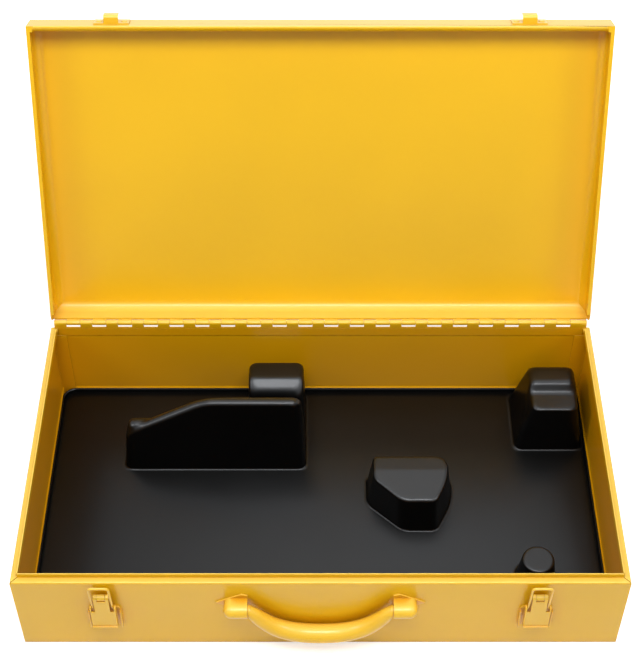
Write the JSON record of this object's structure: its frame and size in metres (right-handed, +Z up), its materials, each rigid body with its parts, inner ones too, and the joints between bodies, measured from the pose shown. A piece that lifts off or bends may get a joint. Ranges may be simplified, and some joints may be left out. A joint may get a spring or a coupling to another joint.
{
  "type": "sheet steel case",
  "caption": "Shallow lidded case of yellow painted sheet steel with a continuous hinge, draw latches, a fold-down bow handle and a formed black tray.",
  "frame": {"origin": "middle of the underside of the base", "axes": "+X to the right across the front, +Y towards the hinge at the back, +Z up; the lid stands open"},
  "size_m": [0.52, 0.4356, 0.3787],
  "materials": {
    "case_paint": "satin powder coat",
    "hardware_paint": "gloss paint",
    "tray_plastic": "satin, formed sheet"
  },
  "bodies": {
    "base": {"base_shell": "case_paint", "tray_insert": "tray_plastic", "tray_ridge": "tray_plastic", "tray_block": "tray_plastic", "tray_corner": "tray_plastic", "tray_wedge": "tray_plastic", "tray_stud": "tray_plastic", "hinge_base_leaf": "hardware_paint", "hinge_pin": "hardware_paint", "latch_plate_left": "hardware_paint", "latch_plate_right": "hardware_paint", "latch_pin_left": "hardware_paint", "latch_pin_right": "hardware_paint", "latch_rivets_left": "hardware_paint", "latch_rivets_right": "hardware_paint", "handle_bracket_left": "hardware_paint", "handle_bracket_right": "hardware_paint"},
    "lid": {"lid_shell": "case_paint", "hinge_lid_leaf": "hardware_paint", "strike_left": "hardware_paint", "strike_right": "hardware_paint", "strike_rivets": "hardware_paint"},
    "lever_left": {"latch_lever_left": "hardware_paint"},
    "lever_right": {"latch_lever_right": "hardware_paint"},
    "loop_left": {"latch_loop_left": "hardware_paint"},
    "loop_right": {"latch_loop_right": "hardware_paint"},
    "handle": {"handle_grip": "hardware_paint"}
  },
  "joints": [
    {"name": "lid_hinge", "type": "hinge", "parent": "base", "child": "lid", "pos_m": [0, 0.14568, 0.1012], "axis": [1, 0, 0], "range_deg": [0, 111.4]},
    {"name": "handle_pivot", "type": "hinge", "parent": "base", "child": "handle", "pos_m": [0, -0.154, 0.067], "axis": [-1, 0, 0], "range_deg": [0, 100]},
    {"name": "lever_left_pivot", "type": "hinge", "parent": "base", "child": "lever_left", "pos_m": [-0.184, -0.152, 0.084], "axis": [-1, 0, 0], "range_deg": [0, 110]},
    {"name": "loop_left_pivot", "type": "hinge", "parent": "lever_left", "child": "loop_left", "pos_m": [-0.184, -0.15206, 0.0687], "axis": [-1, 0, 0], "range_deg": [-110, 0]},
    {"name": "lever_right_pivot", "type": "hinge", "parent": "base", "child": "lever_right", "pos_m": [0.184, -0.152, 0.084], "axis": [-1, 0, 0], "range_deg": [0, 110]},
    {"name": "loop_right_pivot", "type": "hinge", "parent": "lever_right", "child": "loop_right", "pos_m": [0.184, -0.15206, 0.0687], "axis": [-1, 0, 0], "range_deg": [-110, 0]}
  ],
  "couplings": [
    {"joint": "loop_left_pivot", "follows": "lever_left_pivot", "ratio": -1},
    {"joint": "loop_right_pivot", "follows": "lever_right_pivot", "ratio": -1}
  ]
}
